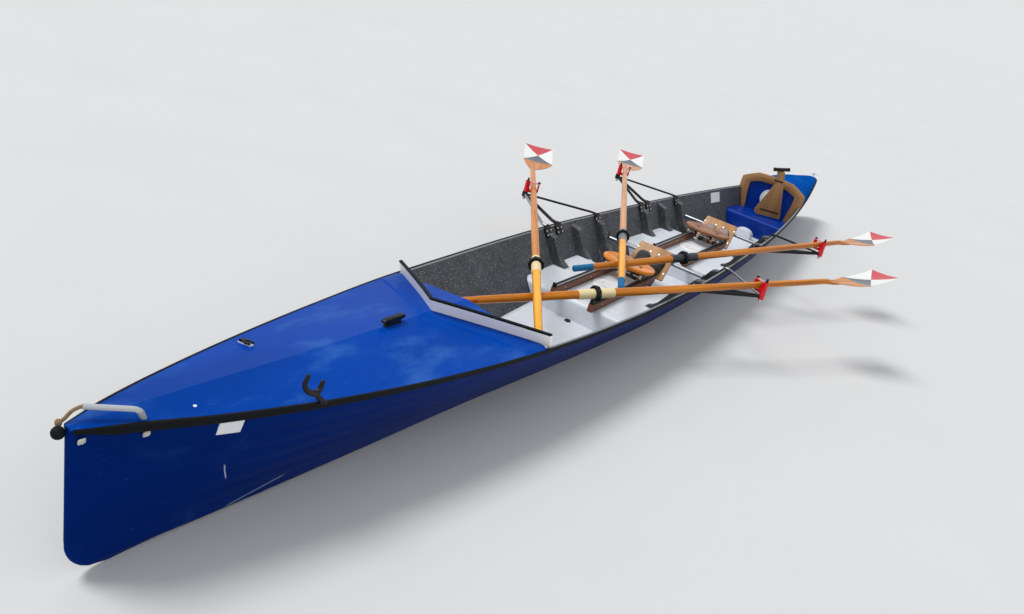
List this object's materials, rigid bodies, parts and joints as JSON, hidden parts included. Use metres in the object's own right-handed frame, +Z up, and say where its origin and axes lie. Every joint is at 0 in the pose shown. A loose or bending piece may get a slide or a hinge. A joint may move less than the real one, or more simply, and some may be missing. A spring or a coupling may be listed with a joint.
{
  "type": "coxed rowing skiff",
  "caption": "Open rowing skiff with a flared moulded hull, ridged foredeck and splashboard, sliding seats, outriggers with swivel locks, and sculls lying across the cockpit.",
  "frame": {"origin": "on the flat of the keel, on the centreline, half way along the hull", "axes": "+X to the bow along the keel, +Y to port, +Z up"},
  "size_m": [8.2725, 2.6457, 0.656],
  "materials": {
    "hull_blue": "gloss gel coat",
    "deck_blue": "gloss gel coat",
    "liner_charcoal": "speckled flow coat",
    "sole_white": "satin moulding",
    "splash_white": "painted",
    "rubber_black": "matt",
    "black_plastic": "moulded",
    "wood_varnished": "gloss varnish",
    "wood_brown": "oiled",
    "seat_orange": "gloss varnish",
    "rail_aluminium": "anodised",
    "rigger_metal": "satin",
    "lock_red": "moulded",
    "grip_blue": "ribbed",
    "sleeve_cream": "moulded",
    "sleeve_dark": "moulded",
    "hose_grey": "smooth",
    "rope_brown": "laid rope",
    "shoe_black": "cloth and rubber",
    "fitting_white": "moulded",
    "steel": "brushed"
  },
  "bodies": {
    "boat": {"bow_ball": "rubber_black", "bow_cleat": "black_plastic", "bow_handle_hose": "hose_grey", "bow_handle_rope": "rope_brown", "bow_port_rigger": "rigger_metal", "bow_rail_bearers": "wood_brown", "bow_seat_rails": "rail_aluminium", "bow_starboard_rigger": "rigger_metal", "bow_stretcher_board": "wood_brown", "bow_stretcher_shoes": "shoe_black", "bow_stretcher_tube": "rigger_metal", "cockpit_liner": "liner_charcoal", "cox_backrest_arch": "wood_brown", "cox_seat": "deck_blue", "deck_fork_clips": "black_plastic", "drain_plug": "black_plastic", "fore_bulkhead": "liner_charcoal", "foredeck": "deck_blue", "gunwale_fenders": "rubber_black", "hull_shell": "hull_blue", "platform_hatch_covers": "fitting_white", "rudder_blade": "wood_brown", "rudder_gudgeons": "steel", "rudder_yoke": "black_plastic", "slide_platforms": "sole_white", "sole": "sole_white", "splashboard": "splash_white", "splashboard_trim": "rubber_black", "stern_bulkhead": "deck_blue", "stern_deck": "deck_blue", "stern_hatch_cover": "fitting_white", "stern_staff_socket": "fitting_white", "stroke_port_rigger": "rigger_metal", "stroke_rail_bearers": "wood_brown", "stroke_seat_rails": "rail_aluminium", "stroke_starboard_rigger": "rigger_metal", "stroke_stretcher_board": "wood_brown", "stroke_stretcher_shoes": "shoe_black", "stroke_stretcher_tube": "rigger_metal"},
    "bow_seat": {"bow_seat_top": "seat_orange", "bow_seat_carriage": "black_plastic"},
    "bow_port_scull": {"bow_port_oarlock": "lock_red", "bow_port_scull_shaft": "wood_varnished", "bow_port_scull_sleeve": "sleeve_cream", "bow_port_scull_grip": "grip_blue"},
    "bow_starboard_scull": {"bow_starboard_oarlock": "lock_red", "bow_starboard_scull_shaft": "wood_varnished", "bow_starboard_scull_sleeve": "sleeve_cream", "bow_starboard_scull_grip": "grip_blue"},
    "stroke_seat": {"stroke_seat_top": "seat_orange", "stroke_seat_carriage": "black_plastic"},
    "stroke_port_scull": {"stroke_port_oarlock": "lock_red", "stroke_port_scull_shaft": "wood_varnished", "stroke_port_scull_sleeve": "sleeve_dark", "stroke_port_scull_grip": "grip_blue"},
    "stroke_starboard_scull": {"stroke_starboard_oarlock": "lock_red", "stroke_starboard_scull_shaft": "wood_varnished", "stroke_starboard_scull_sleeve": "sleeve_dark", "stroke_starboard_scull_grip": "grip_blue"}
  },
  "joints": [
    {"name": "bow_seat_slide", "type": "slide", "parent": "boat", "child": "bow_seat", "axis": [1, 0, 0], "range_m": [-0.08, 0.61]},
    {"name": "bow_port_scull_swing", "type": "hinge", "parent": "boat", "child": "bow_port_scull", "pos_m": [0.4425, 0.8, 0.455], "axis": [0, 0, 1], "range_deg": [0, 5]},
    {"name": "bow_starboard_scull_swing", "type": "hinge", "parent": "boat", "child": "bow_starboard_scull", "pos_m": [0.4425, -0.8, 0.455], "axis": [0, 0, 1], "range_deg": [-5, 0]},
    {"name": "stroke_seat_slide", "type": "slide", "parent": "boat", "child": "stroke_seat", "axis": [1, 0, 0], "range_m": [-0.04, 0.61]},
    {"name": "stroke_port_scull_swing", "type": "hinge", "parent": "boat", "child": "stroke_port_scull", "pos_m": [-0.9775, 0.8, 0.455], "axis": [0, 0, 1], "range_deg": [-2, 4]},
    {"name": "stroke_starboard_scull_swing", "type": "hinge", "parent": "boat", "child": "stroke_starboard_scull", "pos_m": [-0.9775, -0.8, 0.455], "axis": [0, 0, 1], "range_deg": [-5, 0]}
  ]
}
